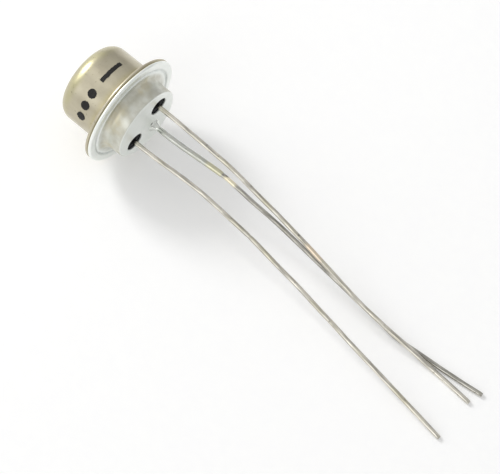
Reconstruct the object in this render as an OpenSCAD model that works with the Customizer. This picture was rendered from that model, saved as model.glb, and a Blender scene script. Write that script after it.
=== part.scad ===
// Germanium alloy transistor in a welded metal case, lying on its rim and its three wire leads.
// The origin is the centre of the seating face, +X points out along the leads and +Z is up.

/* [Case] */
// Diameter of the welded rim
rim_d = 11.2; // [10.4:0.1:13]
// Diameter of the can
can_d = 8; // [7.6:0.1:8.6]
// Length of the can from the weld seam to its top
can_h = 5.25; // [5:0.05:8]
// Thickness of the can's drawn wall
can_wall = 0.3; // [0.2:0.02:0.4]
// Outside radius of the can's shoulder
shoulder_r = 1.3; // [0.6:0.05:1.6]
// Thickness of the can's flange
can_flange_t = 0.35; // [0.25:0.05:0.6]
// Inside radius where the can's wall turns into its flange
can_root_r = 0.25; // [0.1:0.05:0.4]
// Radius on the outer edge of both flanges
rim_edge_r = 0.2; // [0.1:0.02:0.24]
// Bevel on each flange along the weld seam
seam_bevel = 0.08; // [0.02:0.01:0.1]

/* [Header] */
// Thickness of the header's drawn sheet
header_t = 0.4; // [0.3:0.02:0.5]
// Thickness of the header's flange
header_flange_t = 0.35; // [0.25:0.05:0.6]
// Diameter of the header's raised boss
boss_d = 7.4; // [7.2:0.05:7.6]
// Height of the boss above the header's flange
boss_h = 1.85; // [1.7:0.05:2.6]
// Radius on the edge of the seating face
boss_edge_r = 0.2; // [0.1:0.02:0.35]
// Radius at the foot of the boss
boss_root_r = 0.4; // [0.2:0.02:0.45]
// Diameter of the ring pressed into the header's flange
press_ring_d = 9.4; // [9:0.05:9.8]
// Width of the pressed ring
press_ring_w = 0.36; // [0.2:0.02:0.5]
// Depth of the pressed ring
press_ring_depth = 0.1; // [0.04:0.01:0.12]
// Angle of the line through both glass beads, from level
header_turn = 40; // [0:1:80]
// Diameter of the circle through both glass beads
bead_circle_d = 4; // [3.9:0.05:4.2]
// Diameter of the hole that holds a glass bead
bead_d = 1.85; // [1.5:0.05:1.95]
// Length of the collar drawn inward around a bead
collar_h = 1.1; // [0.6:0.05:1.3]
// Wall of the drawn collar
collar_wall = 0.25; // [0.15:0.01:0.3]

/* [Leads] */
// Diameter of a lead wire
lead_d = 0.45; // [0.35:0.01:0.5]
// Reach of the emitter lead beyond the seating face
lead_reach = 38; // [30:0.5:46]
// Inside the case, reach of a lead behind the seating face
post_reach = 2.6; // [2.3:0.05:2.9]
// Radius of the soft bends along a lead
soft_bend_r = 20; // [10:1:22]
// Radius of the last two bends, near a lead's end
end_bend_r = 8; // [5:0.5:9]
// Diameter of the coated stretch of the base lead
coated_d = 0.54; // [0.5:0.01:0.58]
// Distance of the base lead from the case's axis
base_lead_off = 1.88; // [1.7:0.02:2.1]
// Angle from the bead line down to the base lead
base_lead_turn = 94; // [86:1:96]
// Diameter of the recess around the base lead
recess_d = 1.2; // [1.1:0.05:1.3]
// Depth of the recess around the base lead
recess_depth = 0.15; // [0.05:0.01:0.2]
// Diameter of the weld at the foot of the base lead
weld_d = 0.9; // [0.7:0.02:1]
// Length of the weld's cone
weld_h = 0.4; // [0.2:0.05:0.6]

/* [Glass] */
// Depth of the glass below the seating face
glass_depth = 0.18; // [0.14:0.02:0.4]
// How far the glass climbs a lead
glass_creep = 0.12; // [0.05:0.01:0.14]
// How far the glass climbs the edge of its hole
glass_edge = 0.04; // [0.02:0.01:0.12]
// How far the glass stands out of its collar inside
glass_crown = 0.15; // [0.05:0.01:0.3]

/* [Crystal] */
// Thickness of the nickel crystal holder
holder_t = 0.25; // [0.15:0.01:0.3]
// Width of the crystal holder
holder_w = 4; // [3.6:0.1:4.4]
// Strip left between the window and the holder's end
holder_margin = 0.6; // [0.3:0.05:0.9]
// Length of the holder's welded foot
foot_l = 0.75; // [0.5:0.05:0.8]
// Inside radius of the foot's bend
foot_bend_r = 0.12; // [0.05:0.01:0.2]
// Radius on the holder's top corners
holder_corner_r = 0.8; // [0.3:0.05:1.2]
// Distance of the crystal behind the seating face
crystal_depth = 4.1; // [3.9:0.05:4.2]
// Diameter of the window in the holder
window_d = 2.2; // [1.8:0.05:2.4]
// Diameter of the germanium wafer
wafer_d = 3.2; // [2.9:0.05:3.4]
// Thickness of the wafer
wafer_t = 0.2; // [0.12:0.01:0.3]
// Outer diameter of the solder ring under the wafer
solder_d = 3; // [2.7:0.05:3.2]
// Inner diameter of the solder ring
solder_bore_d = 2.4; // [2.4:0.02:2.6]
// Thickness of the solder ring
solder_t = 0.06; // [0.03:0.01:0.1]
// Diameter of the emitter pellet
emitter_pellet_d = 1; // [0.6:0.05:1.2]
// Height of the emitter pellet
emitter_pellet_h = 0.45; // [0.3:0.01:0.5]
// Diameter of the collector pellet
collector_pellet_d = 1.5; // [1:0.05:1.8]
// Height of the collector pellet
collector_pellet_h = 0.4; // [0.25:0.01:0.5]
// Diameter of the nickel link wires
link_d = 0.14; // [0.08:0.01:0.18]
// Radius of the bend in a link wire
link_bend_r = 0.5; // [0.3:0.05:0.8]

/* [Hidden] */
$fn = 96;

// Steps in each rounded corner and each glass surface
corner_steps = 8;
// A bend runs this far into the straights, and is drawn thinner than its wire by this share
bend_lap = 0.1;
bend_thinning = 0.02;

rim_r = rim_d / 2;
can_r = can_d / 2;
boss_r = boss_d / 2;
cup_r = boss_r - header_t;
bead_r = bead_d / 2;
lead_r = lead_d / 2;
flange_x = -boss_h;
seam_x = flange_x - header_flange_t;
can_flange_x = seam_x - can_flange_t;
top_x = seam_x - can_h;
floor_x = -header_t;
collar_x = floor_x - collar_h;
wafer_y = holder_t / 2 + solder_t;
emitter_pellet_y = wafer_y - emitter_pellet_h;
collector_pellet_y = wafer_y + wafer_t + collector_pellet_h;
holder_top_x = -crystal_depth - window_d / 2 - holder_margin;
// Height of a lead's centre where the lead lies on the table
rest_z = lead_r - rim_r;

// Share t of the way from a to b
function part_way(a, b, t) = a + (b - a) * t;

function around_axis(off, turn) = [0, off * cos(turn), off * sin(turn)];
collector_pin = around_axis(bead_circle_d / 2, header_turn);
emitter_pin = around_axis(bead_circle_d / 2, header_turn + 180);
base_pin = around_axis(base_lead_off, header_turn - base_lead_turn);

// Points of an arc from angle a to angle b about [x, y]
function arc(x, y, r, a, b) = [for (i = [0 : corner_steps]) let (t = a + (b - a) * i / corner_steps)
    [x + r * cos(t), y + r * sin(t)]];

// Each bend of a lead, and its end: share of the reach, then share of the pin's place across
// and of the pin's height above a lead that lies on the table
emitter_bends = [[0.042, 1, 1], [0.195, 0.711, 0.917], [0.345, 0.764, 0.75], [0.513, 1.064, 0.56],
    [0.703, 1.547, 0.342], [1, 2.232, 0]];
collector_bends = [[0.058, 1, 1], [0.226, 1.077, 0.894], [0.461, 0.94, 0.577], [0.668, 0.62, 0.293],
    [0.884, 0.835, 0], [0.955, 0.744, 0], [0.997, 0.666, 0]];
base_bends = [[0.063, 1, 1], [0.205, 1.557, 0.898], [0.408, 1.584, 0.612], [0.768, 1.321, 0],
    [0.961, 1.937, 0], [1.008, 2.165, 0]];

// Route of a lead from its start behind the seating face, along the line of its pin and its bends
function lead_route(pin, start_x, bends) = concat([pin + [start_x, 0, 0]],
    [for (b = bends) [b[0] * lead_reach, b[1] * pin.y, part_way(rest_z, pin.z, b[2])]]);

function unit(v) = v / norm(v);
function about_z(a) = [[cos(a), -sin(a), 0], [sin(a), cos(a), 0], [0, 0, 1]];
function about_y(a) = [[cos(a), 0, sin(a)], [0, 1, 0], [-sin(a), 0, cos(a)]];
function transposed(m) = [for (i = [0 : 2]) [for (j = [0 : 2]) m[j][i]]];

// Turns a profile of [radius, x] points about the case's axis
module turned(profile) rotate([0, 90, 0]) rotate_extrude() polygon(profile);

// Cylinder along the case's axis
module rod(from_x, to_x, r) translate([from_x, 0, 0]) rotate([0, 90, 0]) cylinder(r = r, h = to_x - from_x);

// Frame of the bead line, with Y through both beads
module bead_frame() rotate([header_turn, 0, 0]) children();

// Frame that turns +Z into direction d
function frame_to(d) = about_z(atan2(d.y, d.x)) * about_y(acos(d.z));

// Round wire along a route, made of straights and bends as on a bending table.
// radii holds the wire's radius in each run and bends the radius of each bend.
// Each run is drawn in the frame of the wire's end, which frame m turns into the part's.
module run(route, radii, bends, i, m, used) {
    last = i == len(route) - 2;
    ahead = last ? [0, 0, 1] : transposed(m) * unit(route[i + 2] - route[i + 1]);
    turn = last ? 0 : acos(ahead.z);
    roll = last ? 0 : atan2(-ahead.y, -ahead.x);
    trim = last ? 0 : bends[i] * tan(turn / 2);
    straight = norm(route[i + 1] - route[i]) - used - trim;
    cylinder(r = radii[i], h = straight, $fn = 32);
    if (!last) {
        bend_r = bends[i];
        lap_angle = bend_lap / bend_r * 180 / PI;
        bend_wire_r = min(radii[i], radii[i + 1]) * (1 - bend_thinning);
        translate([0, 0, straight]) rotate([0, 0, roll]) {
            translate([-bend_r, 0, 0]) rotate([90, 0, 0]) rotate([0, 0, -lap_angle])
                rotate_extrude(angle = turn + 2 * lap_angle)
                translate([bend_r, 0]) circle(r = bend_wire_r, $fn = 32);
            translate([bend_r * (cos(turn) - 1), 0, bend_r * sin(turn)])
                rotate([0, -turn, 0]) rotate([0, 0, -roll])
                run(route, radii, bends, i + 1, m * about_z(roll) * about_y(-turn) * about_z(-roll), trim);
        }
    }
}

// Wire along a route, started in the direction of its first run
module wire(route, radii, bends) {
    d = unit(route[1] - route[0]);
    translate(route[0]) rotate([0, acos(d.z), atan2(d.y, d.x)]) run(route, radii, bends, 0, frame_to(d), 0);
}

// Bend radii of a lead: soft ones, then the two near its end
function lead_bends(route) = [for (i = [1 : len(route) - 2]) i < len(route) - 3 ? soft_bend_r : end_bend_r];

// Drawn steel can with its flange
module can() color([0.74, 0.7, 0.62]) turned(concat(
    [[can_r - can_wall + can_root_r, seam_x], [rim_r - seam_bevel, seam_x], [rim_r, seam_x - seam_bevel]],
    arc(rim_r - rim_edge_r, can_flange_x + rim_edge_r, rim_edge_r, 0, -90),
    arc(can_r + can_root_r, can_flange_x - can_root_r, can_root_r, 90, 180),
    arc(can_r - shoulder_r, top_x + shoulder_r, shoulder_r, 0, -90),
    [[0, top_x], [0, top_x + can_wall]],
    arc(can_r - shoulder_r, top_x + shoulder_r, shoulder_r - can_wall, -90, 0),
    arc(can_r - can_wall + can_root_r, seam_x - can_root_r, can_root_r, 180, 90)));

// Profile of the drawn header: seating face, boss, pressed ring, rim, seam and hollow inside
header_profile = concat(
    [[0, 0]],
    arc(boss_r - boss_edge_r, -boss_edge_r, boss_edge_r, 90, 0),
    arc(boss_r + boss_root_r, flange_x + boss_root_r, boss_root_r, 180, 270),
    [for (i = [0 : corner_steps]) let (t = i / corner_steps)
        [press_ring_d / 2 + press_ring_w * (t - 0.5), flange_x - press_ring_depth * sin(180 * t)]],
    arc(rim_r - rim_edge_r, flange_x - rim_edge_r, rim_edge_r, 90, 0),
    [[rim_r, seam_x + seam_bevel], [rim_r - seam_bevel, seam_x]],
    arc(cup_r + can_root_r, seam_x + can_root_r, can_root_r, 270, 180),
    arc(cup_r - boss_edge_r, floor_x - boss_edge_r, boss_edge_r, 0, 90),
    [[0, floor_x]]);

// Drawn header with a collar around each bead and the recess for the base lead
module header() color([0.8, 0.83, 0.79]) difference() {
    union() {
        turned(header_profile);
        for (pin = [emitter_pin, collector_pin])
            translate(pin) rod(collar_x, floor_x / 2, bead_r + collar_wall);
    }
    for (pin = [emitter_pin, collector_pin])
        translate(pin) rod(collar_x - 1, 1, bead_r);
    translate(base_pin) rod(-recess_depth, 1, recess_d / 2);
}

// Glass bead fused between a collar and its lead, drawn up a little where it wets the metal
module glass_bead(pin) color([0.03, 0.03, 0.03]) translate(pin) turned(concat(
    [for (i = [0 : corner_steps]) let (t = i / corner_steps)
        [part_way(lead_r, bead_r, t), -glass_depth + glass_creep * pow(1 - t, 3) + glass_edge * pow(t, 3)]],
    [for (i = [corner_steps : -1 : 0]) let (t = i / corner_steps)
        [part_way(lead_r, bead_r, t), collar_x - glass_crown * cos(90 * t)]]));

// Lead that passes through a glass bead
module lead(pin, bends) color([0.72, 0.71, 0.68]) {
    route = lead_route(pin, -post_reach, bends);
    wire(route, [for (p = route) lead_r], lead_bends(route));
}

// Lead that is welded to the header and still carries its coat near the case
module base_lead() color([0.76, 0.78, 0.75]) {
    weld_neck_r = coated_d / 2 * (1 - bend_thinning);
    route = lead_route(base_pin, -recess_depth, base_bends);
    wire(route, [for (i = [0 : len(route) - 1]) i < 2 ? coated_d / 2 : lead_r], lead_bends(route));
    translate(base_pin) turned(concat(
        [[0, -recess_depth]],
        [for (i = [0 : corner_steps]) let (t = i / corner_steps)
            [part_way(weld_d / 2, weld_neck_r, sin(90 * t)), weld_h * pow(t, 2) - recess_depth]],
        [[0, weld_h - recess_depth]]));
}

// Height profile of a solidified pellet, ending in a flat for its link wire
function pellet(d, h) = concat([[0, 0], [d / 2, 0]],
    [for (i = [1 : corner_steps]) let (t = i / corner_steps)
        [link_d + (d / 2 - link_d) * cos(90 * t), h * sin(90 * t)]],
    [[0, h]]);

// Stack on the wafer: drawn with Y away from the holder, at the crystal's place
module on_crystal(y, up) bead_frame()
    translate([-crystal_depth, y, 0]) rotate([up ? -90 : 90, 0, 0]) children();

// Nickel strip with a window, folded into a welded foot
module crystal_holder() color([0.66, 0.65, 0.6]) {
    outer_r = holder_t + foot_bend_r;
    bend_x = floor_x - outer_r;
    bend_y = outer_r - holder_t / 2;
    corner_x = holder_top_x + holder_corner_r;
    bead_frame() difference() {
        intersection() {
            translate([0, 0, -holder_w / 2]) linear_extrude(holder_w) polygon(concat(
                [[floor_x, foot_l]],
                arc(bend_x, bend_y, outer_r, 0, -90),
                [[holder_top_x, -holder_t / 2], [holder_top_x, holder_t / 2]],
                arc(bend_x, bend_y, foot_bend_r, -90, 0),
                [[floor_x - holder_t, foot_l]]));
            rotate([90, 0, 0]) translate([0, 0, -holder_w]) linear_extrude(2 * holder_w) polygon(concat(
                [[0, -holder_w / 2], [0, holder_w / 2]],
                arc(corner_x, holder_w / 2 - holder_corner_r, holder_corner_r, 90, 180),
                arc(corner_x, holder_corner_r - holder_w / 2, holder_corner_r, 180, 270)));
        }
        translate([-crystal_depth, -holder_w, 0]) rotate([-90, 0, 0])
            cylinder(d = window_d, h = 2 * holder_w);
    }
}

// Ring of solder between the holder and the wafer
module solder_ring() color([0.6, 0.6, 0.62]) on_crystal(holder_t / 2, true) difference() {
    cylinder(d = solder_d, h = solder_t);
    translate([0, 0, -1]) cylinder(d = solder_bore_d, h = solder_t + 2);
}

// Base of the transistor
module germanium_wafer() color([0.4, 0.42, 0.44]) on_crystal(wafer_y, true)
    cylinder(d = wafer_d, h = wafer_t);

// Pellet in the holder's window, facing the emitter lead
module emitter_pellet() color([0.68, 0.68, 0.7]) on_crystal(wafer_y, false)
    rotate_extrude() polygon(pellet(emitter_pellet_d, emitter_pellet_h));

// Pellet on the wafer's free side, facing the collector lead
module collector_pellet() color([0.68, 0.68, 0.7]) on_crystal(wafer_y + wafer_t, true)
    rotate_extrude() polygon(pellet(collector_pellet_d, collector_pellet_h));

// Nickel wire from a pellet to the end of a lead, in the frame of the bead line
module link(pellet_y, post_y) color([0.7, 0.69, 0.66]) bead_frame()
    wire([[-post_reach, post_y, 0], [-crystal_depth, post_y, 0], [-crystal_depth, pellet_y, 0]],
        [link_d / 2, link_d / 2], [link_bend_r]);

can();
header();
glass_bead(emitter_pin);  // glass_bead_emitter
glass_bead(collector_pin);  // glass_bead_collector
lead(emitter_pin, emitter_bends);  // lead_emitter
base_lead();  // lead_base
lead(collector_pin, collector_bends);  // lead_collector
crystal_holder();
solder_ring();
germanium_wafer();
emitter_pellet();
collector_pellet();
link(emitter_pellet_y, -bead_circle_d / 2);  // emitter_link
link(collector_pellet_y, bead_circle_d / 2);  // collector_link
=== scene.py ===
import logging
from dataclasses import dataclass, field
from enum import Enum
from math import ceil, cos, exp, hypot, pi, radians, sin, sqrt, tan
from typing import Sequence

import bmesh
import bpy
from mathutils import Euler, Matrix, Vector, noise
from mathutils.geometry import delaunay_2d_cdt


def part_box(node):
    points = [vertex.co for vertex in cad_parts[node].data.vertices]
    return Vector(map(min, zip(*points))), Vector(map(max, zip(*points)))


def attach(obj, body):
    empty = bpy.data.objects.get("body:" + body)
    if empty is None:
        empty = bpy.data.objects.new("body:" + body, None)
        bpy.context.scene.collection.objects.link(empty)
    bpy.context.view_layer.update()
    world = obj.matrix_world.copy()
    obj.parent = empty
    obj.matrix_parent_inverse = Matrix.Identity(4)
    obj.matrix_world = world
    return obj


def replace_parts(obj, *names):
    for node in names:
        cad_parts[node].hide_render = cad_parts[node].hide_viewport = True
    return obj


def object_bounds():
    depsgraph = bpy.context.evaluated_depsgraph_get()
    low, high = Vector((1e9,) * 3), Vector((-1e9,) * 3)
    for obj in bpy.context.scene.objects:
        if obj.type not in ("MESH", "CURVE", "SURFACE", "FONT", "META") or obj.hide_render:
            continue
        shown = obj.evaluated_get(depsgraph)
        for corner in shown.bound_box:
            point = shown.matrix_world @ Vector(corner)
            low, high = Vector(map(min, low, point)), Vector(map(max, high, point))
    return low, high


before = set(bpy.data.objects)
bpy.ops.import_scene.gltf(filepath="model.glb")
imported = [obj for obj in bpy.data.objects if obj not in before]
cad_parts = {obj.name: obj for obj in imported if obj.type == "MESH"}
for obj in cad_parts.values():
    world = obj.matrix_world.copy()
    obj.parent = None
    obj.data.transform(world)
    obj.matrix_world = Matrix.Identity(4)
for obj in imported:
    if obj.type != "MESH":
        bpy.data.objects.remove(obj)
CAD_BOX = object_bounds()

LOG = logging.getLogger("transistor")
MM = 0.001
BODY = "root"

PLAIN_WHITE = (1, 1, 1, 1)
CASE_STEPS = 256
HOLE_STEPS = 96

Socket = bpy.types.NodeSocket
Object = bpy.types.Object
Inputs = dict[str, object]
Span = tuple[float, float]
Place = tuple[float, float, float]
# Where a change starts and stops, and the level at both
Ramp = tuple[float, float, float, float]
Profile = list[Span]


class Slot(Enum):
    """The record's slots for the pieces that this scene draws; this script gives them to no piece. Inner
    pieces keep their own.
    """

    CAN = "lacquered_steel"
    HEADER = "tinned_steel"
    GLASS = "black_glass"
    WIRE = "tinned_wire"


def linear(code: str) -> tuple[float, float, float, float]:
    """Turns an sRGB hex colour into linear light.

    Args:
        code: Six hex digits after a hash sign.

    Returns:
        Red, green, blue and an alpha of one, for a shader socket.
    """
    parts = [int(code[i:i + 2], 16) / 255 for i in (1, 3, 5)]
    red, green, blue = [p / 12.92 if p <= 0.04045 else ((p + 0.055) / 1.055) ** 2.4 for p in parts]
    return red, green, blue, 1.0


class Nodes:
    """The node tree of a material or of the world, and the patterns that are made in it."""

    def __init__(self, tree: bpy.types.NodeTree) -> None:
        """Takes over a tree and empties it."""
        self.tree = tree
        tree.nodes.clear()

    def add(self, kind: str, inputs: dict | None = None, out: str = "", **settings) -> Socket | None:
        """Adds a node with its settings, values and links.

        Args:
            kind: Blender's type name of the node, without ShaderNode before it.
            inputs: Value or source socket for each input, by its name or identifier.
            out: Name of the output that is wanted, if it isn't the first one in use.
            settings: Properties of the node itself.

        Returns:
            The wanted output, or None where the node has no outputs.
        """
        node = self.tree.nodes.new("ShaderNode" + kind)
        for name, value in settings.items():
            setattr(node, name, value)
        for name, value in (inputs or {}).items():
            socket = next(s for s in node.inputs if name in (s.identifier, s.name) and s.enabled)
            if isinstance(value, Socket):
                self.tree.links.new(value, socket)
            else:
                socket.default_value = value
        return next((s for s in node.outputs if (s.name == out if out else s.enabled)), None)

    def place(self, stretch: Place = (1, 1, 1)) -> Socket:
        """Returns the place on the part in metres, where small factors draw a pattern out."""
        here = self.add("TexCoord", out="Object")
        return self.add("VectorMath", {"Vector": here, "Vector_001": stretch}, operation="MULTIPLY")

    def along(self) -> Socket:
        """Returns the place along the case's axis, in metres."""
        return self.add("SeparateXYZ", {"Vector": self.place()}, "X")

    def away(self) -> Socket:
        """Returns the distance from the case's axis, in metres."""
        return self.add("VectorMath", {"Vector": self.place((0, 1, 1))}, operation="LENGTH")

    def cloud(self, where: Socket, scale: float, low: float, high: float, band: Span,
              detail: float = 4.0) -> Socket:
        """Returns noise with scale features per unit of a place, its band spread from low to high."""
        level = self.add("TexNoise", {"Vector": where, "Scale": scale, "Detail": detail})
        return self.add("MapRange", {
            "Value": level, "From Min": band[0], "From Max": band[1], "To Min": low, "To Max": high})

    def pattern(self, size: float, low: float = 0.0, high: float = 1.0, stretch: Place = (1, 1, 1),
                band: Span = (0.3, 0.7), detail: float = 4.0) -> Socket:
        """Makes a cloudy pattern on the part.

        Args:
            size: Width of a feature in mm.
            low: Value in the pattern's troughs.
            high: Value on its crests.
            stretch: Factor on the place along each axis.
            band: Noise levels that give low and high.
            detail: Octaves of finer noise.

        Returns:
            The pattern's value.
        """
        return self.cloud(self.place(stretch), 1.0 / (size * MM), low, high, band, detail)

    def streaks(self, count: float, low: float = 0.0, high: float = 1.0) -> Socket:
        """Returns streaks along a wire, with count features across it, from low to high."""
        where = self.add("Attribute", out="Vector", attribute_name="wire_place")
        return self.cloud(where, count, low, high, (0.35, 0.65))

    def ramp(self, value: Socket, start: float, stop: float, low: float = 0.0, high: float = 1.0) -> Socket:
        """Returns a smooth change from low to high as value goes from start to stop."""
        return self.add("MapRange", {
            "Value": value, "From Min": start, "From Max": stop, "To Min": low, "To Max": high},
            interpolation_type="SMOOTHSTEP")

    def step(self, value: Socket, start: float, stop: float) -> Socket:
        """Returns a smooth rise from zero to one as value, in metres, goes from start to stop, in mm."""
        return self.ramp(value, start * MM, stop * MM)

    def near(self, spot: Place, inner: float, outer: float) -> Socket:
        """Makes a soft spot.

        Args:
            spot: Its middle in mm.
            inner: Radius in mm inside which it is full.
            outer: Radius in mm outside which it is gone.

        Returns:
            One in the spot, zero away from it.
        """
        middle = tuple(value * MM for value in spot)
        away = self.add("VectorMath", {"Vector": self.place(), "Vector_001": middle},
                        operation="DISTANCE")
        return self.ramp(away, inner * MM, outer * MM, 1.0, 0.0)

    def product(self, first: Socket, *others: Socket | float) -> Socket:
        """Returns the product of all that it is given."""
        for other in others:
            first = self.add("Math", {"Value": first, "Value_001": other}, operation="MULTIPLY")
        return first

    def layered(self, under: str, *layers: tuple) -> Socket:
        """Lays shades over one another.

        Args:
            under: Hex code of the lowest shade.
            layers: For each shade its hex code, then the shares whose product tells how much of it shows.

        Returns:
            The colour of all layers.
        """
        colour = linear(under)
        for shade, *shares in layers:
            colour = self.add("Mix", {
                "Factor_Float": self.product(*shares), "A_Color": colour, "B_Color": linear(shade)},
                data_type="RGBA")
        return colour

    def bumps(self, height: Socket, depth: float) -> Socket:
        """Returns the normal of a surface whose pattern stands depth mm high."""
        return self.add("Bump", {"Height": height, "Distance": depth * MM, "Strength": 1.0})


@dataclass(frozen=True)
class Finish:
    """A surface finish, made as a node material."""

    name: str

    def inputs(self, nodes: Nodes) -> Inputs:
        """Builds the finish's colours and patterns.

        Args:
            nodes: Node tree of the material.

        Returns:
            Values and sockets for the shader's inputs.
        """
        raise NotImplementedError

    def shader(self, nodes: Nodes) -> Socket:
        """Returns the shader output that goes to the surface."""
        return nodes.add("BsdfPrincipled", self.inputs(nodes))

    def material(self) -> bpy.types.Material:
        """Returns the finish's material, which is made the first time that it is asked for."""
        found = bpy.data.materials.get(self.name)
        if found:
            return found
        made = bpy.data.materials.new(self.name)
        made.use_nodes = True
        nodes = Nodes(made.node_tree)
        nodes.add("OutputMaterial", {"Surface": self.shader(nodes)})
        return made


@dataclass(frozen=True)
class LacqueredNickelPlate(Finish):
    """Drawn steel, nickel plated and dipped in clear lacquer that has yellowed with age.

    The plate gives a warm grey metal with soft reflections. The lacquer adds a second, sharper gloss, and
    is yellow where it ran together in the root of the flange and along the shoulder. Places along the
    case's axis, distances from it and widths of patterns are in mm.
    """

    plate: str = "#c2bdad"
    plate_dull: str = "#b3ad9e"
    mottle_w: float = 1.6
    pooled: str = "#c2b98a"
    root_along: Span = (-3.8, -2.65)
    root_away: Span = (5.4, 4.6)
    pool_w: float = 1.1
    shoulder_tint: str = "#bdb996"
    shoulder_along: Span = (-5.75, -6.6)
    shoulder_w: float = 1.4
    grime: str = "#8e8874"
    grime_w: float = 0.22
    rough: Span = (0.26, 0.36)
    rough_w: float = 1.2
    draw_line: float = 0.09
    draw_stretch: Place = (0.04, 1, 1)
    draw_rough: float = 0.12
    draw_depth: float = 0.0012
    lacquer_share: float = 0.6
    lacquer_rough: float = 0.12
    lacquer_ior: float = 1.5
    lacquer_tint: str = "#fbf7e6"

    def inputs(self, nodes: Nodes) -> Inputs:
        """Builds mottled plate under lacquer, with draw lines along the case."""
        along, away = nodes.along(), nodes.away()
        colour = nodes.layered(
            self.plate,
            (self.plate_dull, nodes.pattern(self.mottle_w)),
            (self.pooled, nodes.step(along, *self.root_along), nodes.pattern(self.pool_w, 0.35),
             nodes.step(away, *self.root_away)),
            (self.shoulder_tint, nodes.step(along, *self.shoulder_along),
             nodes.pattern(self.shoulder_w, 0.2)),
            (self.grime, nodes.pattern(self.grime_w, 0.0, 0.75, band=(0.67, 0.74), detail=2.0)))
        lines = nodes.pattern(self.draw_line, stretch=self.draw_stretch, detail=3.0)
        rough = nodes.add("Math", {
            "Value": nodes.product(lines, self.draw_rough),
            "Value_001": nodes.pattern(self.rough_w, *self.rough)}, operation="ADD")
        return {
            "Base Color": colour, "Metallic": 1.0, "Roughness": rough, "Coat Weight": self.lacquer_share,
            "Coat Roughness": self.lacquer_rough, "Coat IOR": self.lacquer_ior,
            "Coat Tint": linear(self.lacquer_tint), "Normal": nodes.bumps(lines, self.draw_depth)}


@dataclass(frozen=True)
class DippedTinCoat(Finish):
    """Steel dipped in tin and left dull, with a thin film of dried flux and painted shade on the boss's
    wall.

    It gives a pale, faintly green satin metal that is never quite even. A grey-yellow layer on the boss's
    wall is painted shade with a flux film in it, and flux was baked on as warm stains. The pressed ring is
    darkened with painted shade, and a dark spot beside the base lead is the painted shade of a small pit.
    Each stain is a middle and a radius. All sizes are in mm.
    """

    bright: str = "#fcfffb"
    dull: str = "#f4f8f3"
    cloud_w: float = 1.3
    # The boss's wall is darkened in colour: painted shade, because it gets less light than the face, with a
    # thin flux film.
    flux_and_wall_shade: str = "#c3c1b2"
    wall_shade_in: Span = (3.58, 3.68)
    wall_shade_out: Span = (4.56, 3.96)
    wall_shade_w: float = 0.9
    stain: str = "#d0c8ab"
    stains: tuple[tuple[Place, float], ...] = (
        ((-1.3, -3.1, 2.1), 1.4), ((-1.3, -3.65, -0.9), 1.3), ((-1.5, -2.2, 3.2), 1.2),
        ((-1.3, 0.7, 3.7), 0.9), ((-1.6, 1.6, 3.5), 0.9))
    stain_w: float = 0.5
    # Grey painted shade in the pressed ring's groove.
    ring_shade: str = "#b4bab8"
    ring_shade_w: float = 0.8
    ring_r: float = 4.7
    ring_soft: float = 0.26
    seam_tint: str = "#c9c08d"
    seam_along: Span = (-2.08, -2.18)
    seam_away: Span = (5.3, 5.5)
    # A dark spot beside the base lead: painted shade of a small pit that the mesh has no hollow for.
    pit: Place = (0.0, 0.71, -0.85)
    pit_r: float = 0.22
    pit_painted_shade: str = "#34372c"
    metal: float = 0.75
    rough: Span = (0.32, 0.48)
    rough_w: float = 0.9
    flux_share: float = 0.35
    flux_rough: float = 0.3
    grain_w: float = 0.16
    grain_depth: float = 0.0018

    def inputs(self, nodes: Nodes) -> Inputs:
        """Builds the cloudy coat with its film, stains, dirt and pit."""
        along, away = nodes.along(), nodes.away()
        stains = [(self.stain, nodes.near(spot, size * 0.2, size), nodes.pattern(self.stain_w, 0.2, 0.9))
                  for spot, size in self.stains]
        colour = nodes.layered(
            self.bright,
            (self.dull, nodes.pattern(self.cloud_w)),
            # Painted shade on the boss's wall, with its flux film.
            (self.flux_and_wall_shade, nodes.step(away, *self.wall_shade_in), nodes.step(away, *self.wall_shade_out),
             nodes.pattern(self.wall_shade_w, 0.55)),
            *stains,
            # Painted shade darkens the pressed ring's groove.
            (self.ring_shade, nodes.step(away, self.ring_r - self.ring_soft, self.ring_r),
             nodes.step(away, self.ring_r + self.ring_soft, self.ring_r),
             nodes.pattern(self.ring_shade_w, 0.25, 0.7)),
            (self.seam_tint, nodes.step(along, *self.seam_along), nodes.step(away, *self.seam_away)),
            # Painted shade of the small pit beside the base lead.
            (self.pit_painted_shade, nodes.near(self.pit, self.pit_r * 0.4, self.pit_r)))
        return {
            "Base Color": colour, "Metallic": self.metal,
            "Roughness": nodes.pattern(self.rough_w, *self.rough),
            "Coat Weight": self.flux_share, "Coat Roughness": self.flux_rough,
            "Normal": nodes.bumps(nodes.pattern(self.grain_w), self.grain_depth)}


@dataclass(frozen=True)
class FusedBlackGlass(Finish):
    """Black sealing glass, melted in place.

    It is black inside, and its skin came out of the furnace dull and faintly rippled, so it mirrors little.
    Widths and depth are in mm.
    """

    body: str = "#08080a"
    smoky: str = "#121216"
    smoke_w: float = 0.4
    rough: Span = (0.3, 0.45)
    rough_w: float = 0.3
    mirror: float = 0.02
    ripple_w: float = 0.35
    ripple_depth: float = 0.004

    def inputs(self, nodes: Nodes) -> Inputs:
        """Builds near-black glass with a dull, slightly rippled skin."""
        return {
            "Base Color": nodes.layered(self.body, (self.smoky, nodes.pattern(self.smoke_w))),
            "Roughness": nodes.pattern(self.rough_w, *self.rough), "Specular IOR Level": self.mirror,
            "Normal": nodes.bumps(nodes.pattern(self.ripple_w), self.ripple_depth)}


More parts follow.
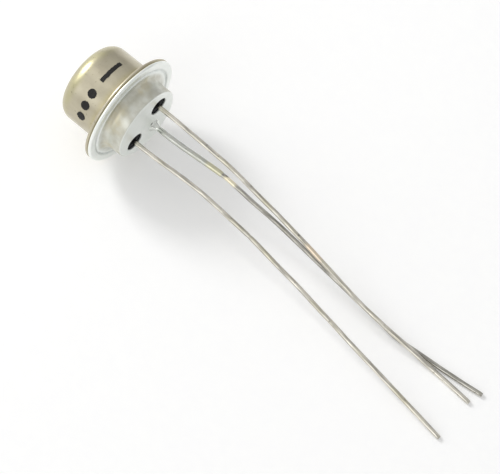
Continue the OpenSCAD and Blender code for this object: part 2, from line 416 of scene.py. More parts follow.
@dataclass(frozen=True)
class TinnedWire(Finish):
    """Drawn wire, hot tinned.

    The tin follows the wire in long streaks, bright where it is thick, grey and slightly olive where it is
    thin, with small dull spots from handling. Each tint colours one place, given by its middle and its
    radius. All sizes are in mm, and streaks are counted across the wire.
    """

    bright: str = "#eae5d9"
    grey: str = "#a5a299"
    colour_streaks: float = 1.6
    olive: str = "#bab394"
    olive_w: float = 2.5
    spot: str = "#6f6c64"
    spot_w: float = 0.35
    tints: tuple[tuple[Place, float, str], ...] = ()
    rough: Span = (0.08, 0.2)
    rough_streaks: float = 2.2
    ridge_streaks: float = 3.0
    ridge_depth: float = 0.0035

    def inputs(self, nodes: Nodes) -> Inputs:
        """Builds streaked tin with dull spots."""
        colour = nodes.layered(
            self.bright,
            (self.grey, nodes.streaks(self.colour_streaks)),
            (self.olive, nodes.pattern(self.olive_w, 0.0, 0.4, band=(0.5, 0.66))),
            (self.spot, nodes.pattern(self.spot_w, 0.0, 0.8, band=(0.66, 0.72), detail=2.0)),
            *[(shade, nodes.near(place, size * 0.5, size)) for place, size, shade in self.tints])
        return {
            "Base Color": colour, "Metallic": 1.0,
            "Roughness": nodes.streaks(self.rough_streaks, *self.rough),
            "Normal": nodes.bumps(nodes.streaks(self.ridge_streaks), self.ridge_depth)}


@dataclass(frozen=True)
class StampedInk(Finish):
    """Black marking ink, stamped with a rubber pad.

    It is matt and black, and thinner at its edges and in small pinholes. Widths are in mm.
    """

    full: str = "#0c0b0a"
    thin: str = "#2b2822"
    pinhole_w: float = 0.16
    rough: Span = (0.42, 0.6)
    rough_w: float = 0.3
    mirror: float = 0.35

    def inputs(self, nodes: Nodes) -> Inputs:
        """Builds matt ink with small thin places."""
        thin = nodes.pattern(self.pinhole_w, band=(0.5, 0.75))
        return {"Base Color": nodes.layered(self.full, (self.thin, thin)),
                "Roughness": nodes.pattern(self.rough_w, *self.rough), "Specular IOR Level": self.mirror}


@dataclass(frozen=True)
class InnerMetal(Finish):
    """A bare metal inside the case, etched clean before the case was closed.

    It is dull and even, with a fine cloudy grain that the acid bath leaves. Grain and its depth are in mm.
    """

    light: str = "#b9b4a6"
    dark: str = "#9c978a"
    roughness: float = 0.38
    uneven: float = 0.06
    grain: float = 0.12
    grain_depth: float = 0.001

    def inputs(self, nodes: Nodes) -> Inputs:
        """Builds a plain etched metal."""
        cloud = nodes.pattern(self.grain)
        rough = nodes.pattern(self.grain * 4, self.roughness - self.uneven, self.roughness + self.uneven)
        return {"Base Color": nodes.layered(self.light, (self.dark, cloud)), "Metallic": 1.0,
                "Roughness": rough, "Normal": nodes.bumps(cloud, self.grain_depth)}


@dataclass(frozen=True)
class PalePaper(Finish):
    """Smooth pale card under the part, matt and almost white, which keeps the part's shadow."""

    colour: str = "#f4f4f3"
    fibre: str = "#f1f1f1"
    fibre_w: float = 0.6
    lift: float = 0.22

    def shader(self, nodes: Nodes) -> Socket:
        """Builds matt card, lifted where the camera or a reflection sees it."""
        seen = nodes.add("LightPath", out="Is Camera Ray")
        for kind in ("Is Glossy Ray", "Is Transmission Ray"):
            ray = nodes.add("LightPath", out=kind)
            seen = nodes.add("Math", {"Value": seen, "Value_001": ray}, operation="MAXIMUM")
        fibres = nodes.layered(self.colour, (self.fibre, nodes.pattern(self.fibre_w)))
        matt = nodes.add("BsdfDiffuse", {"Color": fibres})
        glow = nodes.add("Emission", {
            "Color": PLAIN_WHITE, "Strength": nodes.product(seen, self.lift)})
        return nodes.add("AddShader", {"Shader": matt, "Shader_001": glow})


def corner(radius: float, along: float, size: float, start: float, stop: float, steps: int = 10) -> Profile:
    """Makes a round corner of a turned profile.

    Args:
        radius: Distance of the corner's centre from the case's axis, in mm.
        along: Place of the corner's centre along the axis, in mm.
        size: Radius of the corner in mm.
        start: Angle in degrees of its first point.
        stop: Angle in degrees of its last point.
        steps: Number of steps between them.

    Returns:
        Points of radius and place along the axis.
    """
    turns = [radians(start + (stop - start) * i / steps) for i in range(steps + 1)]
    return [(radius + size * cos(t), along + size * sin(t)) for t in turns]


def filled(profile: Profile, pitch: float) -> Profile:
    """Adds points to a profile so that no step is longer than pitch.

    Args:
        profile: Points of radius and place along the axis, in mm.
        pitch: Longest step in mm.

    Returns:
        The profile with its long straights divided.
    """
    made = [profile[0]]
    for (r0, x0), (r1, x1) in zip(profile, profile[1:]):
        length = hypot(r1 - r0, x1 - x0)
        if length < 1e-6:
            continue
        steps = max(1, ceil(length / pitch))
        made += [(r0 + (r1 - r0) * i / steps, x0 + (x1 - x0) * i / steps) for i in range(1, steps + 1)]
    return made


@dataclass
class Uneven:
    """Hand-sized unevenness of a surface: how far it strays and how wide its swells are, in mm."""

    depth: float
    width: float
    seed: float

    def at(self, place: Vector) -> float:
        """Returns how far the surface strays at a place, mostly inward, both in mm."""
        return self.depth * (noise.noise(place / self.width + Vector((self.seed, 0, 0))) - 0.6)


class Draft:
    """Vertices and faces of one piece in millimetres, before they become a Blender object."""

    def __init__(self) -> None:
        """Starts an empty draft."""
        self.points: list[Vector] = []
        self.faces: list[tuple[int, ...]] = []
        self.wire_places: list[Vector] = []

    def add(self, points: Sequence[Vector], faces: Sequence[tuple[int, ...]]) -> None:
        """Adds points, and faces that count from the first of them."""
        start = len(self.points)
        self.points += points
        self.faces += [tuple(start + i for i in face) for face in faces]

    def turn(self, profile: Profile, pin: Span = (0, 0), segments: int = CASE_STEPS) -> None:
        """Turns a profile about a line along X.

        Args:
            profile: Points of radius and place along X. A radius of zero becomes a single point.
            pin: Y and Z of the line.
            segments: Steps round the line.
        """
        points: list[Vector] = []
        rings: list[list[int]] = []
        for radius, x in profile:
            count = 1 if radius < 1e-6 else segments
            rings.append([len(points) + i for i in range(count)])
            for i in range(count):
                a = 2 * pi * i / segments
                points.append(Vector((x, pin[0] + radius * cos(a), pin[1] + radius * sin(a))))
        faces = []
        for first, second in zip(rings, rings[1:]):
            for i in range(segments):
                j = (i + 1) % segments
                quad = [first[i % len(first)], first[j % len(first)],
                        second[j % len(second)], second[i % len(second)]]
                face = tuple(dict.fromkeys(quad))
                if len(face) > 2:
                    faces.append(face)
        self.add(points, faces)

    def plate(self, x: float, outer: float, holes: Sequence[Place], pitch: float) -> None:
        """Fills a flat disc with round holes in it.

        Args:
            x: Place of the disc along the axis, in mm.
            outer: Radius of the disc.
            holes: Y, Z and radius of each hole.
            pitch: Spacing of the points inside.
        """
        spots, edges = [], []
        for y, z, r, count in [(0.0, 0.0, outer, CASE_STEPS)] + [(*hole, HOLE_STEPS) for hole in holes]:
            start = len(spots)
            turns = [2 * pi * i / count for i in range(count)]
            spots += [Vector((y + r * cos(a), z + r * sin(a))) for a in turns]
            edges += [(start + i, start + (i + 1) % count) for i in range(count)]

        def in_metal(p: Vector, margin: float) -> bool:
            """Tells whether a point is in the disc, outside its holes, by a margin."""
            clear = all(hypot(p.x - y, p.y - z) > r + margin for y, z, r in holes)
            return clear and p.length < outer - margin

        count = ceil(2 * outer / pitch)
        for i in range(count):
            for j in range(count):
                spot = Vector(((i + 0.5 * (j % 2)) * pitch - outer, j * pitch - outer))
                if in_metal(spot, pitch * 0.4):
                    spots.append(spot)
        made, _, faces, *_ = delaunay_2d_cdt(spots, edges, [], 0, 1e-6)
        kept = [f for f in faces if in_metal(sum((made[i] for i in f), Vector((0, 0))) / len(f), 0)]
        self.add([Vector((x, p.x, p.y)) for p in made], [tuple(f) for f in kept])

    def tube(self, points: Sequence[Vector], sides: int) -> None:
        """Adds rings of points, with sides points each, as a tube with closed ends."""
        last = len(points) - sides
        faces = [(a + k, a + (k + 1) % sides, a + sides + (k + 1) % sides, a + sides + k)
                 for a in range(0, last, sides) for k in range(sides)]
        faces += [tuple(range(sides)), tuple(range(last, len(points)))]
        self.add(points, faces)

    def sweep(self, path: Sequence[Vector], radii: Sequence[float], sides: int,
              flatten: Sequence[float] | None = None) -> None:
        """Draws a round bar along a path and closes its ends.

        Args:
            path: Middle of each ring, in mm.
            radii: Radius of each ring.
            sides: Points round each ring.
            flatten: Height of each ring as a share of its width, for pinched ends.
        """
        points: list[Vector] = []
        heading = (path[1] - path[0]).normalized()
        side = heading.cross(Vector((0, 0, 1))).normalized()
        length = 0.0
        for i, middle in enumerate(path):
            ahead = path[min(i + 1, len(path) - 1)] - path[max(i - 1, 0)]
            ahead.normalize()
            side = (side - ahead * side.dot(ahead)).normalized()
            up = side.cross(ahead)
            length += (middle - path[i - 1]).length if i else 0.0
            height = flatten[i] if flatten else 1.0
            for k in range(sides):
                a = 2 * pi * k / sides
                points.append(middle + radii[i] * (side * cos(a) + up * sin(a) * height))
                self.wire_places.append(Vector((length * 0.35, cos(a), sin(a))))
        self.tube(points, sides)

    def piece(self, name: str, finish: Finish, uneven: Sequence[Uneven] = (),
              sharp: float = 50.0) -> Object:
        """Makes the draft into an object that rides on the part's body.

        Args:
            name: Name of the piece.
            finish: Its surface finish.
            uneven: Unevenness that moves its surface.
            sharp: Angle in degrees past which an edge stays sharp.

        Returns:
            The new object.
        """
        mesh = bpy.data.meshes.new(name)
        mesh.from_pydata([p * MM for p in self.points], [], self.faces)
        if self.wire_places:
            kept = mesh.attributes.new("wire_place", "FLOAT_VECTOR", "POINT")
            kept.data.foreach_set("vector", [value for place in self.wire_places for value in place])
        form = bmesh.new()
        form.from_mesh(mesh)
        bmesh.ops.remove_doubles(form, verts=form.verts, dist=0.0005 * MM)
        bmesh.ops.recalc_face_normals(form, faces=form.faces)
        form.normal_update()
        moves = [v.normal * sum(u.at(v.co / MM) for u in uneven) * MM for v in form.verts]
        for vertex, move in zip(form.verts, moves):
            vertex.co += move
        form.to_mesh(mesh)
        form.free()
        mesh.shade_smooth()
        mesh.set_sharp_from_angle(angle=radians(sharp))
        mesh.materials.append(finish.material())
        made = bpy.data.objects.new(name, mesh)
        bpy.context.scene.collection.objects.link(made)
        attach(made, BODY)
        LOG.info("%s: %d faces, %s", name, len(mesh.polygons), finish.name)
        return made


@dataclass
class Case:
    """Sizes that the can and the header share, in mm, with the overall ones read from the frame."""

    boss_h: float = 1.85
    can_flange_t: float = 0.35
    header_flange_t: float = 0.35
    rim_edge_r: float = 0.2
    seam_bevel: float = 0.08
    root_r: float = 0.25
    rim_r: float = field(init=False)
    top_x: float = field(init=False)
    table_z: float = field(init=False)

    def __post_init__(self) -> None:
        """Reads the rim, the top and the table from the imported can."""
        low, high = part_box("can")
        self.rim_r = (high.y - low.y) / 2 / MM
        self.top_x = low.x / MM
        self.table_z = CAD_BOX[0][2] / MM

    @property
    def flange_x(self) -> float:
        """Place of the header's flange face."""
        return -self.boss_h

    @property
    def seam_x(self) -> float:
        """Place of the welded seam."""
        return self.flange_x - self.header_flange_t


@dataclass
class Can:
    """Drawn can with its flange, and the ink marks on its wall."""

    case: Case
    radius: float = 4.0
    wall: float = 0.3
    shoulder_r: float = 1.3
    crown: float = 0.01
    mark_x: float = -4.55
    mark_turns: tuple[float, ...] = (166, 147, 128)
    mark_r: float = 0.48
    bar_turns: Span = (108, 70)
    bar_w: float = 0.42
    bar_step: float = 0.06
    ink_t: float = 0.012
    ink_rings: int = 5
    pitch: float = 0.16
    hidden_pitch: float = 0.5

    def profile(self) -> Profile:
        """Returns the can's closed section, from its top outside, round the flange and back inside."""
        c, shoulder_r = self.case, self.shoulder_r
        outside = (
            [(0, c.top_x + self.crown), (self.radius - shoulder_r, c.top_x)]
            + corner(self.radius - shoulder_r, c.top_x + shoulder_r, shoulder_r, -90, 0, 18)
            + corner(self.radius + c.root_r, c.seam_x - c.can_flange_t - c.root_r, c.root_r, 180, 90)
            + corner(c.rim_r - c.rim_edge_r, c.seam_x - c.can_flange_t + c.rim_edge_r, c.rim_edge_r, -90, 0)
            + [(c.rim_r, c.seam_x - c.seam_bevel), (c.rim_r - c.seam_bevel, c.seam_x)])
        bore = self.radius - self.wall
        inside = (
            [(bore + c.root_r, c.seam_x)]
            + corner(bore + c.root_r, c.seam_x - c.root_r, c.root_r, 90, 180)
            + corner(self.radius - shoulder_r, c.top_x + shoulder_r, shoulder_r - self.wall, 0, -90)
            + [(0, c.top_x + self.wall)])
        return filled(outside, self.pitch) + filled(inside, self.hidden_pitch)

    def build(self, finish: Finish) -> Object:
        """Makes the can in its finish."""
        draft = Draft()
        draft.turn(self.profile())
        made = draft.piece("can_shell", finish,
                           [Uneven(0.012, 2.6, 3.0), Uneven(0.004, 0.9, 8.0)])
        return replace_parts(made, "can")

    def on_wall(self, x: float, round_by: float, lift: float) -> Vector:
        """Returns the point at a place along the case and a place round it, lift mm off the wall."""
        r, a = self.radius + lift, round_by / self.radius
        return Vector((x, r * cos(a), r * sin(a)))

    def patch(self, draft: Draft, outline: Profile) -> None:
        """Lays a thin patch of ink on the wall.

        Args:
            draft: Draft that the patch goes into.
            outline: Its edge as place along the case and place round it, both in mm from its middle.
        """
        count = len(outline)
        mid_x, mid_by = (sum(values) / count for values in zip(*outline))
        points = []
        for level, lift in enumerate([self.ink_t] * self.ink_rings + [-self.ink_t]):
            share = min(1.0, (level + 1) / self.ink_rings)
            points += [self.on_wall(mid_x + (x - mid_x) * share, mid_by + (by - mid_by) * share, lift)
                       for x, by in outline]
        draft.tube(points, count)

    def mark(self, finish: Finish) -> Object:
        """Makes the plain index marks, three dots and a bar, with edges that the stamp left ragged."""
        draft = Draft()
        ragged = Uneven(0.05, 0.22, 1.5)
        for turn in self.mark_turns:
            start = radians(turn) * self.radius
            edge = []
            for a in (radians(degrees) for degrees in range(0, 360, 5)):
                r = self.mark_r + ragged.at(Vector((cos(a), sin(a), turn)))
                edge.append((self.mark_x + r * cos(a), start + r * sin(a)))
            self.patch(draft, edge)
        low, high = sorted(radians(t) * self.radius for t in self.bar_turns)
        count = int((high - low) / self.bar_step)
        walk = [low + (high - low) * i / count for i in range(count + 1)]
        sides = ((-self.bar_w / 2, 5), (self.bar_w / 2, 1))
        self.bar(draft, [(self.mark_x + off + ragged.at(Vector((v, row, 0))), v)
                         for v in walk for off, row in sides])
        return draft.piece("ink_marks", finish)

    def bar(self, draft: Draft, spots: Profile) -> None:
        """Lays a long strip of ink round the wall.

        Args:
            draft: Draft that the strip goes into.
            spots: Pairs of points across the strip, as place along the case and place round it, in mm.
        """
        points = [self.on_wall(*spot, lift) for lift in (self.ink_t, -self.ink_t) for spot in spots]
        n = len(spots)
        faces = []
        for a in range(0, n - 2, 2):
            b = a + n
            faces += [(a, a + 1, a + 3, a + 2), (b, b + 1, b + 3, b + 2), (a, a + 2, b + 2, b),
                      (a + 1, a + 3, b + 3, b + 1)]
        faces += [(0, 1, n + 1, n), (n - 2, n - 1, 2 * n - 1, 2 * n - 2)]
        draft.add(points, faces)


@dataclass
class Header:
    """Drawn header: raised boss with two glass-sealed collars and a recess, and the flange round it."""

    case: Case
    sheet: float = 0.4
    boss_r: float = 3.7
    edge_r: float = 0.2
    root_r: float = 0.6
    ring_r: float = 4.7
    ring_w: float = 0.36
    ring_depth: float = 0.1
    turn: float = 40.0
    bead_circle_r: float = 2.0
    bead_r: float = 0.925
    lip_r: float = 0.07
    collar_x: float = -1.5
    collar_wall: float = 0.25
    base_off: float = 1.88
    base_turn: float = 94.0
    recess_r: float = 0.6
    recess_depth: float = 0.15
    pitch: float = 0.14
    face_pitch: float = 0.15
    floor_pitch: float = 0.4
    hidden_pitch: float = 0.5
    ring_steps: int = 12
    emitter: Span = field(init=False)
    collector: Span = field(init=False)
    base: Span = field(init=False)

    def __post_init__(self) -> None:
        """Works out Y and Z of each lead's place from its distance off the axis and its turn from level."""
        self.emitter, self.collector, self.base = (
            (off * cos(radians(turn)), off * sin(radians(turn))) for off, turn in (
                (self.bead_circle_r, self.turn + 180), (self.bead_circle_r, self.turn),
                (self.base_off, self.turn - self.base_turn)))

    def skin(self) -> Profile:
        """Returns the turned section from the edge of the seating face to the edge of the floor inside."""
        c = self.case
        cup_r = self.boss_r - self.sheet
        shares = [i / self.ring_steps for i in range(self.ring_steps + 1)]
        press = [(self.ring_r + self.ring_w * (t - 0.5),
                  c.flange_x - self.ring_depth * sin(pi * t) ** 1.5) for t in shares]
        outside = (
            corner(self.boss_r - self.edge_r, -self.edge_r, self.edge_r, 90, 0)
            + corner(self.boss_r + self.root_r, c.flange_x + self.root_r, self.root_r, 180, 270)
            + press
            + corner(c.rim_r - c.rim_edge_r, c.flange_x - c.rim_edge_r, c.rim_edge_r, 90, 0)
            + [(c.rim_r, c.seam_x + c.seam_bevel), (c.rim_r - c.seam_bevel, c.seam_x)])
        inside = (
            corner(cup_r + c.root_r, c.seam_x + c.root_r, c.root_r, 270, 180)
            + corner(cup_r - self.edge_r, -self.sheet - self.edge_r, self.edge_r, 0, 90))
        return filled(outside, self.pitch) + filled(inside, self.hidden_pitch)

    def build(self, finish: Finish) -> Object:
        """Makes the header in its finish."""
        draft = Draft()
        draft.turn(self.skin())
        lip, floor_x = self.lip_r, -self.sheet
        hole = self.bead_r + lip
        front = [(*self.emitter, hole), (*self.collector, hole), (*self.base, self.recess_r + lip)]
        draft.plate(0.0, self.boss_r - self.edge_r, front, self.face_pitch)
        collar_r = self.bead_r + self.collar_wall
        back = [(*self.emitter, collar_r), (*self.collector, collar_r)]
        draft.plate(floor_x, self.boss_r - self.sheet - self.edge_r, back, self.floor_pitch)
        collar = (
            corner(hole, -lip, lip, 90, 180, 8)
            + [(self.bead_r, self.collar_x), (collar_r, self.collar_x), (collar_r, floor_x)])
        for pin in (self.emitter, self.collector):
            draft.turn(filled(collar, 0.2), pin, HOLE_STEPS)
        recess = corner(self.recess_r + lip, -lip, lip, 90, 180, 8) + [
            (self.recess_r, -self.recess_depth), (0, -self.recess_depth)]
        draft.turn(filled(recess, 0.12), self.base, HOLE_STEPS)
        made = draft.piece("header_shell", finish,
                           [Uneven(0.016, 1.7, 21.0), Uneven(0.007, 0.55, 27.0)], sharp=60)
        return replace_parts(made, "header")


@dataclass
class Bead:
    """Glass bead that seals a lead into its collar."""

    header: Header
    lead_r: float = 0.225
    depth: float = 0.18
    creep: float = 0.12
    climb: float = 0.04
    crown: float = 0.15
    bite: float = 0.01

    def build(self, name: str, pin: Span, finish: Finish) -> Object:
        """Makes one bead.

        Args:
            name: Name of the CAD node that it stands for.
            pin: Y and Z of its middle.
            finish: Its glass.

        Returns:
            The bead.
        """
        inner, outer = self.lead_r - self.bite, self.header.bead_r + self.bite
        steps = [i / 20 for i in range(21)]
        front = [(inner + (outer - inner) * t,
                  -self.depth + self.creep * (1 - t) ** 3 + self.climb * t ** 3) for t in steps]
        back = [(inner + (outer - inner) * t,
                 self.header.collar_x - self.crown * cos(pi / 2 * t)) for t in reversed(steps)]
        draft = Draft()
        draft.turn(filled(front + back + front[:1], 0.3), pin, HOLE_STEPS)
        made = draft.piece(name + "_glass", finish,
                           [Uneven(0.012, 0.6, 40.0 + pin[0])], sharp=70)
        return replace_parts(made, name)


@dataclass
class Nick:
    """A dent, lump or step in a wire: where it is along the reach, its width and its depth, in mm."""

    reach: float
    width: float
    depth: float


@dataclass
class Lead:
    """Wire lead that leaves the header and sinks to the table."""

    header: Header
    node: str
    pin: Span
    bends: tuple[Place, ...]
    seed: float
    start_x: float = -2.6
    radius: float = 0.225
    reach: float = 38.0
    soft_bend: float = 20.0
    end_bend: float = 8.0
    pitch: float = 0.16
    sides: int = 28
    stray: float = 0.035
    stray_w: Span = (3.2, 2.7)
    stray_from: float = 6.0
    stray_lift: float = 1.5
    swell: float = 0.012
    swell_w: float = 0.9
    cut: float = 0.3
    cut_narrow: float = 0.12
    cut_flat: float = 0.55
    nicks: tuple[Nick, ...] = ()

    def corners(self) -> list[Vector]:
        """Returns the points where the wire would turn if its bends were sharp, in mm."""
        rest = self.header.case.table_z + self.radius
        y, z = self.pin
        spots = [Vector((self.start_x, y, z))]
        spots += [Vector((b[0] * self.reach, b[1] * y, rest + b[2] * (z - rest))) for b in self.bends]
        return spots

    def path(self) -> list[Vector]:
        """Returns the wire's middle line, with round bends and a waver that fades at header and table."""
        spots = self.corners()
        line = [spots[0]]
        for i in range(1, len(spots) - 1):
            before, after = (spots[i] - spots[i - 1]).normalized(), (spots[i + 1] - spots[i]).normalized()
            turn = before.angle(after)
            bend = self.soft_bend if i < len(spots) - 3 else self.end_bend
            trim = bend * tan(turn / 2)
            first, last = spots[i] - before * trim, spots[i] + after * trim
            line.append(first)
            steps = max(2, ceil(bend * turn / (4 * self.pitch)))
            for k in range(1, steps):
                t = k / steps
                line.append(first * (1 - t) ** 2 + spots[i] * 2 * t * (1 - t) + last * t * t)
            line.append(last)
        line.append(spots[-1])
        fine = [line[0]]
        for a, b in zip(line, line[1:]):
            steps = max(1, ceil((b - a).length / self.pitch))
            fine += [a.lerp(b, k / steps) for k in range(1, steps + 1)]
        rest = self.header.case.table_z + self.radius
        for p in fine:
            free = min(1.0, max(0.0, p.x) / self.stray_from)
            lifted = min(1.0, max(0.0, p.z - rest) / self.stray_lift)
            across, up = (noise.noise(Vector((p.x / width, self.seed, row)))
                          for width, row in zip(self.stray_w, (0, 9)))
            p.y += free * self.stray * across
            p.z += free * lifted * self.stray * up
        return fine

    def radius_at(self, x: float) -> float:
        """Returns the wire's radius at a reach, with the tin's hollows and its nicks, in mm."""
        swell = self.swell * (noise.noise(Vector((x / self.swell_w, self.seed, 3))) - 0.9)
        marks = sum(n.depth * exp(-((x - n.reach) / n.width) ** 2) for n in self.nicks)
        return self.radius * (1 + swell) + marks

    def build(self, finish: Finish) -> Object:
        """Makes the lead, with its free end pinched by the cutters."""
        path = self.path()
        radii, flatten = [], []
        for p in path:
            pinch = max(0.0, 1 - (path[-1] - p).length / self.cut)
            radii.append(self.radius_at(p.x) * (1 - self.cut_narrow * pinch))
            flatten.append(1 - self.cut_flat * pinch ** 1.5)
        draft = Draft()
        draft.sweep(path, radii, self.sides, flatten)
        made = draft.piece(self.node + "_wire", finish, sharp=60)
        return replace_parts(made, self.node)


@dataclass
class BaseCoat:
    """Tin that filled the recess and ran up the base lead, where it ends in a thin ragged step."""

    lead: Lead
    foot_r: float = 0.69
    foot_h: float = 0.5
    radius: float = 0.3
    end_x: float = 7.9
    end_len: float = 0.35
    end_share: float = 0.97
    lump: float = 0.014
    lump_w: float = 0.6
    shrink: float = 0.006

    def build(self, finish: Finish) -> Object:
        """Makes the coat as a sleeve round the wire, with a round foot on the header's face."""
        path = [p for p in self.lead.path() if p.x <= self.end_x]
        end_r = self.lead.radius * self.end_share
        radii = []
        for p in path:
            rise = min(1.0, max(0.0, p.x / self.foot_h))
            foot = (self.foot_r - self.radius) * (1 - sin(pi / 2 * rise))
            lumps = self.lump * noise.noise(Vector((p.x / self.lump_w, 7, 1)))
            tail = min(1.0, (self.end_x - p.x) / self.end_len)
            thick = end_r + (self.radius - end_r) * sqrt(max(tail, 0.0))
            radii.append(thick + foot + lumps * tail - self.shrink)
        draft = Draft()
        draft.sweep(path, radii, 40)
        made = draft.piece("lead_base_coat", finish, [Uneven(0.008, 0.3, 61.0)], sharp=70)
        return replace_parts(made, self.lead.node)


@dataclass
class CrystalMount:
    """The sealed inner pieces, which keep their CAD forms and get their own finishes."""

    finishes: dict[str, Finish]

    def dress(self) -> None:
        """Gives each inner node its finish."""
        for name, finish in self.finishes.items():
            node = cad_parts[name]
            node.data.materials.clear()
            node.data.materials.append(finish.material())
            LOG.info("%s: CAD form, %s", name, finish.name)


@dataclass(frozen=True)
class Lamp:
    """A square soft lamp: its name, the way to it, its width in metres and its power in watts."""

    name: str
    toward: Place
    size: float
    power: float


@dataclass(frozen=True)
class Panel:
    """A bright patch of the tent: the way to it, the cosines where it starts and is full, its light."""

    toward: Place
    edge: float
    full: float
    power: float


@dataclass
class Studio:
    """Pale floor, soft light and the camera at the photograph's angle.

    The lamps stand low behind the can, which throws its shadow forward under the leads. Metal mirrors the
    tent, whose low panel gives each wire its bright line. Matt surfaces get a share of the tent's light.
    Its light changes with height, toward the window and toward the far side.
    """

    case: Case
    floor_half: float = 1.2
    target: Place = (12.799, 0.246, -5.6)
    azimuth: float = 31.344
    elevation: float = 62.591
    roll: float = 10.6
    distance: float = 190.626
    lens: float = 149.82
    lamps: tuple[Lamp, ...] = (
        Lamp("window", (-0.85, -0.03, 0.62), 0.16, 1.4), Lamp("board", (-0.86, -0.22, 0.6), 0.42, 0.6))
    lamp_distance: float = 0.6
    panels: tuple[Panel, ...] = (
        Panel((-0.24, 0.06, 0.97), 0.93, 0.985, 0.12), Panel((0.0, -0.9, 0.42), 0.88, 0.95, 0.95))
    height_ramp: Ramp = (0.05, 0.6, 0.5, 0.72)
    window_ramp: Ramp = (-0.3, -0.95, 0.0, 0.5)
    far_ramp: Ramp = (0.5, 0.9, 1.0, 0.88)
    matt_share: float = 0.655

    def floor(self) -> None:
        """Lays the floor under the part."""
        cuts, half = 24, self.floor_half
        z = self.case.table_z * MM
        mesh = bpy.data.meshes.new("floor")
        spots = [(-half + 2 * half * i / cuts, -half + 2 * half * j / cuts, z)
                 for i in range(cuts + 1) for j in range(cuts + 1)]
        faces = [(i * (cuts + 1) + j, (i + 1) * (cuts + 1) + j, (i + 1) * (cuts + 1) + j + 1,
                  i * (cuts + 1) + j + 1) for i in range(cuts) for j in range(cuts)]
        mesh.from_pydata(spots, [], faces)
        mesh.materials.append(PalePaper("matt_white_card").material())
        made = bpy.data.objects.new("floor", mesh)
        bpy.context.scene.collection.objects.link(made)

    def hang(self, lamp: Lamp) -> None:
        """Hangs a lamp, turned toward the part."""
        light = bpy.data.lights.new(lamp.name, "AREA")
        light.size = lamp.size
        light.energy = lamp.power
        made = bpy.data.objects.new(lamp.name, light)
        away = Vector(lamp.toward).normalized()
        made.location = Vector(self.target) * MM + away * self.lamp_distance
        made.rotation_euler = away.to_track_quat("Z", "Y").to_euler()
        bpy.context.scene.collection.objects.link(made)

    def world(self) -> None:
        """Sets the sky: white to the camera, and to the part a soft tent, dimmer low down and far off."""
        world = bpy.data.worlds.new("tent")
        world.use_nodes = True
        nodes = Nodes(world.node_tree)
        look = nodes.add("TexCoord", out="Generated")
        back, across, up = (nodes.add("SeparateXYZ", {"Vector": look}, axis) for axis in "XYZ")
        lights = []
        for panel in self.panels:
            facing = nodes.add("VectorMath", {
                "Vector": look, "Vector_001": Vector(panel.toward).normalized()}, operation="DOT_PRODUCT")
            lights.append(nodes.ramp(facing, panel.edge, panel.full, 0.0, panel.power))
        lights.append(nodes.product(nodes.ramp(up, *self.height_ramp), nodes.ramp(across, *self.far_ramp)))
        tent = nodes.ramp(back, *self.window_ramp)
        for light in lights:
            tent = nodes.add("Math", {"Value": tent, "Value_001": light}, operation="ADD")
        level, matt = tent, nodes.product(tent, self.matt_share)
        for kind, seen in (("Is Diffuse Ray", matt), ("Is Camera Ray", 1.0)):
            ray = nodes.add("LightPath", out=kind)
            level = nodes.add("Mix", {"Factor_Float": ray, "A_Float": level, "B_Float": seen},
                              data_type="FLOAT")
        shade = nodes.add("Background", {"Color": PLAIN_WHITE, "Strength": level})
        nodes.add("OutputWorld", {"Surface": shade})
        bpy.context.scene.world = world

    def camera(self) -> None:
        """Sets the camera where the photograph was taken from."""
        lens = bpy.data.cameras.new("camera")
        lens.lens = self.lens
        lens.sensor_width = 36.0
        lens.clip_start = 0.005
        made = bpy.data.objects.new("camera", lens)
        az, el = radians(self.azimuth), radians(self.elevation)
        look = Vector((-sin(az) * cos(el), cos(az) * cos(el), -sin(el)))
        turn = look.to_track_quat("-Z", "Y").to_matrix().to_4x4()
        turn = turn @ Euler((0, 0, radians(self.roll))).to_matrix().to_4x4()
        made.matrix_world = Matrix.Translation((Vector(self.target) - look * self.distance) * MM) @ turn
        bpy.context.scene.collection.objects.link(made)
        bpy.context.scene.camera = made

    def build(self) -> None:
        """Sets up the whole studio."""
        self.camera()
        self.floor()
        self.world()
        for lamp in self.lamps:
            self.hang(lamp)
        bpy.context.scene.view_settings.view_transform = "Standard"


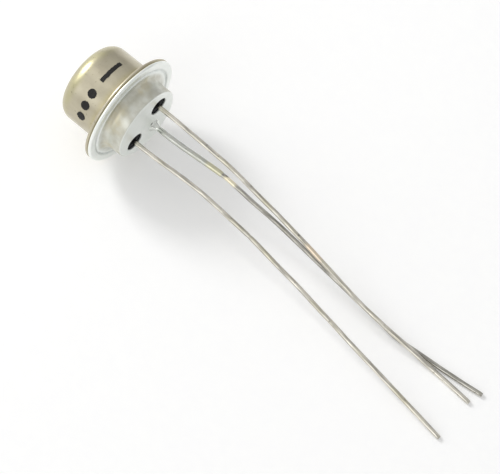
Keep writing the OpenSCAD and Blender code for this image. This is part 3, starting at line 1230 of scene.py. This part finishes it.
def main() -> None:
    """Builds the transistor, piece by piece, and the studio round it."""
    logging.basicConfig(level=logging.INFO, format="%(name)s: %(message)s")
    case = Case()
    Studio(case).build()

    can = Can(case)
    can.build(LacqueredNickelPlate("lacquered_nickel_plate"))
    can.mark(StampedInk("stamped_black_ink"))

    header = Header(case)
    tin = DippedTinCoat("dipped_tin_coat")
    header.build(tin)

    glass = FusedBlackGlass("fused_black_glass")
    bead = Bead(header)
    bead.build("glass_bead_emitter", header.emitter, glass)
    bead.build("glass_bead_collector", header.collector, glass)

    wire = TinnedWire("hot_tinned_wire", tints=(((19.0, 1.37, -1.9), 1.3, "#dccdb8"),))
    # The dull wire's small dark tint just past the end of the run-on tin is a painted shadow of the tin's
    # step.
    dull_wire = TinnedWire("dull_tinned_wire", bright="#c9c6bd", grey="#8b8983", olive="#9a967f", tints=(
        ((8.75, 1.73, -2.05), 0.9, "#f3ead0"), ((8.2, 1.93, -1.88), 0.3, "#4c4840")))
    emitter = Lead(header, "lead_emitter", header.emitter, (
        (0.042, 1, 1), (0.195, 0.711, 0.917), (0.345, 0.764, 0.75), (0.513, 1.064, 0.56),
        (0.703, 1.547, 0.342), (1, 2.232, 0)),
        seed=2.0, nicks=(Nick(4.6, 0.25, 0.012), Nick(5.7, 0.2, 0.014), Nick(13.6, 0.2, -0.03)))
    collector = Lead(header, "lead_collector", header.collector, (
        (0.058, 1, 1), (0.226, 1.077, 0.894), (0.461, 0.94, 0.577), (0.668, 0.62, 0.293),
        (0.884, 0.835, 0), (0.955, 0.744, 0), (0.997, 0.666, 0)), seed=5.0)
    base = Lead(header, "lead_base", header.base, (
        (0.063, 1, 1), (0.205, 1.557, 0.898), (0.408, 1.584, 0.612), (0.768, 1.321, 0),
        (0.961, 1.937, 0), (1.008, 2.165, 0)), seed=8.0,
        start_x=-header.recess_depth)
    for lead, finish in ((emitter, wire), (collector, wire), (base, dull_wire)):
        lead.build(finish)
    run_on_tin = TinnedWire("run_on_tin", bright="#cfd0ca", grey="#b4b6b1", olive="#c0c0ac", tints=(
        ((0.0, 1.1, -1.52), 1.3, "#dfe2dc"), ((7.0, 1.63, -1.87), 1.3, "#cfccb2")))
    BaseCoat(base).build(run_on_tin)

    nickel = InnerMetal("etched_nickel_strip")
    pellet = InnerMetal("alloyed_indium_pellet", light="#c3c3c6", dark="#a7a7ab", roughness=0.3)
    CrystalMount({
        "crystal_holder": nickel, "emitter_link": nickel, "collector_link": nickel,
        "solder_ring": InnerMetal("dull_soft_solder", light="#a5a5a8", dark="#88888c", roughness=0.5),
        "germanium_wafer": InnerMetal("etched_germanium", light="#77797d", dark="#5e6064", roughness=0.32,
                                      grain=0.08),
        "emitter_pellet": pellet, "collector_pellet": pellet}).dress()


if __name__ == "__main__":
    main()
